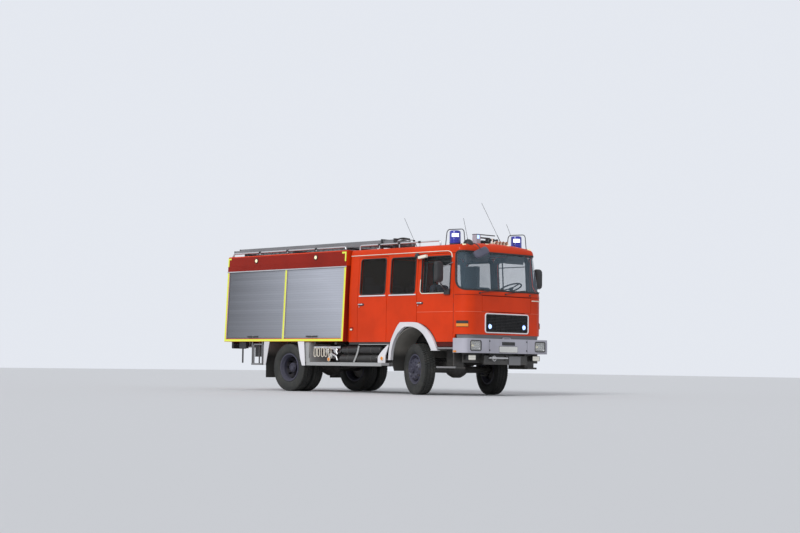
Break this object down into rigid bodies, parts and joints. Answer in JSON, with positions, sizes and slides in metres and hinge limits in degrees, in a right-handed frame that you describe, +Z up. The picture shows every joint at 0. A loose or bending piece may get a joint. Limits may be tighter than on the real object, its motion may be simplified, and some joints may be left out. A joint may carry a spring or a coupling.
{
  "type": "fire engine",
  "caption": "Four-wheel-drive crew-cab fire engine with hinged doors, roller-shutter superstructure, roof ladders, blue beacons, steered front wheels and twin rear wheels.",
  "frame": {"origin": "on the ground, on the centreline, under the middle of the overall length", "axes": "+X forward, +Y to the vehicle's left, +Z up"},
  "size_m": [7.439, 2.96, 3.8542],
  "materials": {
    "red_paint": "gloss fire red",
    "silver_paint": "satin silver white",
    "aluminium": "satin anodised",
    "black_metal": "satin black chassis paint",
    "rim_paint": "dark grey",
    "tyre_rubber": "matt",
    "glass": "tinted",
    "black_plastic": "grained",
    "blue_lens": "blue translucent",
    "clear_lens": "clear",
    "red_lens": "red",
    "seat_fabric": "woven",
    "tank_plastic": "plain",
    "horn_metal": "white grey"
  },
  "bodies": {
    "root": {"air_tanks": "black_metal", "antennas": "black_plastic", "arch_trims": "silver_paint", "axles": "black_metal", "beacon_guards": "black_metal", "beacons": "blue_lens", "body_shell": "red_paint", "bumper": "silver_paint", "bumper_apron": "black_metal", "cab_floor": "black_metal", "cab_front": "red_paint", "cab_rear_wall": "red_paint", "cab_roof": "red_paint", "cab_seats": "seat_fabric", "cab_sides": "red_paint", "chassis_frame": "black_metal", "dashboard": "black_plastic", "entry_steps": "aluminium", "extension_ladder": "aluminium", "front_lamps": "clear_lens", "fuel_tank": "black_metal", "grille": "black_plastic", "horns": "horn_metal", "kerb_mirror": "black_plastic", "ladder_gantry": "aluminium", "leaf_springs": "black_metal", "plug_ladder": "aluminium", "powertrain": "black_metal", "rear_steps": "aluminium", "roof_rails": "aluminium", "running_boards": "aluminium", "shutters": "aluminium", "side_glass": "glass", "steering_wheel": "black_plastic", "tail_lamps": "red_lens", "tow_coupling": "black_metal", "water_tank": "tank_plastic", "wheel_liners": "black_plastic", "windscreen": "glass"},
    "front_flap": {"front_flap": "red_paint"},
    "front_right_door": {"front_right_door": "red_paint", "front_right_glass": "glass", "right_mirror": "black_plastic"},
    "front_left_door": {"front_left_door": "red_paint", "front_left_glass": "glass", "left_mirror": "black_plastic"},
    "rear_right_door": {"rear_right_door": "red_paint", "rear_right_glass": "glass"},
    "rear_left_door": {"rear_left_door": "red_paint", "rear_left_glass": "glass"},
    "right_knuckle": {"right_knuckle": "black_metal"},
    "front_right_wheel": {"front_right_tyre": "tyre_rubber", "front_right_rim": "rim_paint"},
    "rear_right_wheels": {"rear_right_tyres": "tyre_rubber", "rear_right_rims": "rim_paint"},
    "left_knuckle": {"left_knuckle": "black_metal"},
    "front_left_wheel": {"front_left_tyre": "tyre_rubber", "front_left_rim": "rim_paint"},
    "rear_left_wheels": {"rear_left_tyres": "tyre_rubber", "rear_left_rims": "rim_paint"}
  },
  "joints": [
    {"name": "steer_right", "type": "hinge", "parent": "root", "child": "right_knuckle", "pos_m": [2.31, -0.86, 0.502], "axis": [0, 0, 1], "range_deg": [-15, 55]},
    {"name": "steer_left", "type": "hinge", "parent": "root", "child": "left_knuckle", "pos_m": [2.31, 0.86, 0.502], "axis": [0, 0, 1], "range_deg": [-15, 55]},
    {"name": "front_right_spin", "type": "hinge", "parent": "right_knuckle", "child": "front_right_wheel", "pos_m": [2.26212, -0.99156, 0.502], "axis": [0.342, 0.9397, 0], "continuous": true},
    {"name": "front_left_spin", "type": "hinge", "parent": "left_knuckle", "child": "front_left_wheel", "pos_m": [2.35788, 0.99156, 0.502], "axis": [0.342, 0.9397, 0], "continuous": true},
    {"name": "rear_right_spin", "type": "hinge", "parent": "root", "child": "rear_right_wheels", "pos_m": [-1.44, -0.94, 0.502], "axis": [0, 1, 0], "continuous": true},
    {"name": "rear_left_spin", "type": "hinge", "parent": "root", "child": "rear_left_wheels", "pos_m": [-1.44, 0.94, 0.502], "axis": [0, 1, 0], "continuous": true},
    {"name": "front_right_door_hinge", "type": "hinge", "parent": "root", "child": "front_right_door", "pos_m": [3.304, -1.152, 1.5], "axis": [0, 0, 1], "range_deg": [0, 75]},
    {"name": "front_left_door_hinge", "type": "hinge", "parent": "root", "child": "front_left_door", "pos_m": [3.304, 1.152, 1.5], "axis": [0, 0, -1], "range_deg": [0, 75]},
    {"name": "rear_right_door_hinge", "type": "hinge", "parent": "root", "child": "rear_right_door", "pos_m": [1.449, -1.152, 1.5], "axis": [0, 0, 1], "range_deg": [0, 75]},
    {"name": "rear_left_door_hinge", "type": "hinge", "parent": "root", "child": "rear_left_door", "pos_m": [1.449, 1.152, 1.5], "axis": [0, 0, -1], "range_deg": [0, 75]},
    {"name": "front_flap_hinge", "type": "hinge", "parent": "root", "child": "front_flap", "pos_m": [3.678, 0, 1.929], "axis": [0, -1, 0], "range_deg": [0, 95]}
  ],
  "couplings": [
    {"joint": "steer_left", "follows": "steer_right", "ratio": 1}
  ]
}
